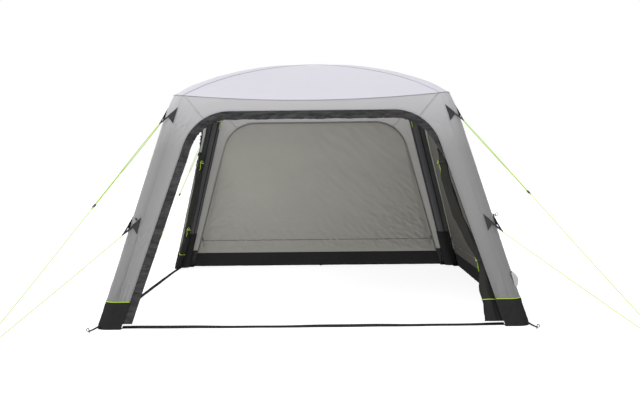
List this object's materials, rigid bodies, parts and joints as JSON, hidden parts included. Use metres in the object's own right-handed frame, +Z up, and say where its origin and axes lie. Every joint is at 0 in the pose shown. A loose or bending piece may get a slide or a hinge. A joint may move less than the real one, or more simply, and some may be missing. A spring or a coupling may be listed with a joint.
{
  "type": "inflatable event shelter",
  "caption": "Square inflatable canopy on leaning corner legs, with arched sides, zipped and rolled walls, guy ropes and ground pegs.",
  "frame": {"origin": "on the ground at the centre of the square base", "axes": "+Z up, the open front arch faces -Y, the zipped wall on the right side faces +X"},
  "size_m": [5.0184, 5.605, 2.405],
  "materials": {
    "roof_cloth": "coated woven polyester, pale grey, slight sheen",
    "cover_cloth": "coated woven polyester, mid grey, matte",
    "flap_cloth": "woven polyester, dark grey, matte, wrinkled",
    "boot_cloth": "vinyl coated cloth, black, slight sheen",
    "wall_cloth": "coated woven polyester, beige grey, lit through",
    "rolled_wall_cloth": "coated woven polyester, dark olive grey, rolled",
    "sleeve_cloth": "woven polyester, dark grey, matte",
    "tube_film": "film coated cloth, grey, smooth",
    "webbing": "woven webbing, black",
    "rope": "braided cord, lime",
    "black_plastic": "moulded nylon, black",
    "peg_steel": "galvanised wire"
  },
  "bodies": {
    "shelter": {"roof_canopy": "roof_cloth", "leg_cover_front_right": "cover_cloth", "leg_cover_rear_right": "cover_cloth", "leg_cover_rear_left": "cover_cloth", "leg_cover_front_left": "cover_cloth", "header_panel_front": "cover_cloth", "header_panel_right": "cover_cloth", "header_panel_rear": "cover_cloth", "header_panel_left": "cover_cloth", "storm_flap_front": "flap_cloth", "storm_flap_right": "flap_cloth", "storm_flap_rear": "flap_cloth", "storm_flap_left": "flap_cloth", "leg_boot_front_right": "boot_cloth", "leg_boot_rear_right": "boot_cloth", "leg_boot_rear_left": "boot_cloth", "leg_boot_front_left": "boot_cloth", "tube_sleeve_front_right": "sleeve_cloth", "tube_sleeve_rear_right": "sleeve_cloth", "tube_sleeve_rear_left": "sleeve_cloth", "tube_sleeve_front_left": "sleeve_cloth", "air_tube_front_right": "tube_film", "air_tube_rear_right": "tube_film", "air_tube_rear_left": "tube_film", "air_tube_front_left": "tube_film", "crown_joiner": "tube_film", "rear_wall": "wall_cloth", "rear_wall_skirt": "boot_cloth", "right_wall": "wall_cloth", "right_wall_skirt": "boot_cloth", "front_wall_roll": "rolled_wall_cloth", "left_wall_roll": "rolled_wall_cloth", "ground_strap_front": "webbing", "ground_strap_left": "webbing", "guy_rope_upper_front_right": "rope", "guy_rope_upper_rear_right": "rope", "guy_rope_upper_rear_left": "rope", "guy_rope_upper_front_left": "rope", "guy_rope_lower_front_right": "rope", "guy_rope_lower_rear_right": "rope", "guy_rope_lower_rear_left": "rope", "guy_rope_lower_front_left": "rope", "guy_peg_front_right": "peg_steel", "guy_peg_rear_right": "peg_steel", "guy_peg_rear_left": "peg_steel", "guy_peg_front_left": "peg_steel", "foot_peg_front_right": "peg_steel", "foot_peg_rear_right": "peg_steel", "foot_peg_rear_left": "peg_steel", "foot_peg_front_left": "peg_steel", "inflation_valve": "black_plastic"},
    "runner_front_right": {"rope_runner_front_right": "black_plastic"},
    "runner_rear_right": {"rope_runner_rear_right": "black_plastic"},
    "runner_rear_left": {"rope_runner_rear_left": "black_plastic"},
    "runner_front_left": {"rope_runner_front_left": "black_plastic"},
    "slider_rear_left": {"zip_slider_rear_left": "black_plastic"},
    "slider_rear_right": {"zip_slider_rear_right": "black_plastic"},
    "slider_right_rear": {"zip_slider_right_rear": "black_plastic"},
    "cap": {"valve_cap": "black_plastic"},
    "pocket": {"pocket_flap": "cover_cloth"}
  },
  "joints": [
    {"name": "runner_slide_front_right", "type": "slide", "parent": "shelter", "child": "runner_front_right", "axis": [-0.4961, 0.5408, 0.6793], "range_m": [-0.01, 0.35]},
    {"name": "runner_slide_rear_right", "type": "slide", "parent": "shelter", "child": "runner_rear_right", "axis": [-0.4583, -0.5606, 0.6897], "range_m": [-0.01, 0.35]},
    {"name": "runner_slide_rear_left", "type": "slide", "parent": "shelter", "child": "runner_rear_left", "axis": [0.4207, -0.5604, 0.7134], "range_m": [-0.01, 0.35]},
    {"name": "runner_slide_front_left", "type": "slide", "parent": "shelter", "child": "runner_front_left", "axis": [0.4206, 0.5995, 0.681], "range_m": [-0.01, 0.35]},
    {"name": "zip_slide_rear_left", "type": "slide", "parent": "shelter", "child": "slider_rear_left", "axis": [0.2861, -0.2575, 0.9229], "range_m": [-0.13, 1.05]},
    {"name": "zip_slide_rear_right", "type": "slide", "parent": "shelter", "child": "slider_rear_right", "axis": [-0.2861, -0.2575, 0.9229], "range_m": [-0.13, 1.05]},
    {"name": "zip_slide_right_rear", "type": "slide", "parent": "shelter", "child": "slider_right_rear", "axis": [-0.2575, -0.2861, 0.9229], "range_m": [-0.13, 1.05]},
    {"name": "cap_turn", "type": "hinge", "parent": "shelter", "child": "cap", "pos_m": [1.72958, -1.63375, 0.37174], "axis": [0.9632, 0, 0.2687], "range_deg": [0, 270]},
    {"name": "pocket_swing", "type": "hinge", "parent": "shelter", "child": "pocket", "pos_m": [1.71358, -1.63375, 0.43216], "axis": [0, -1, 0], "range_deg": [0, 120]}
  ]
}
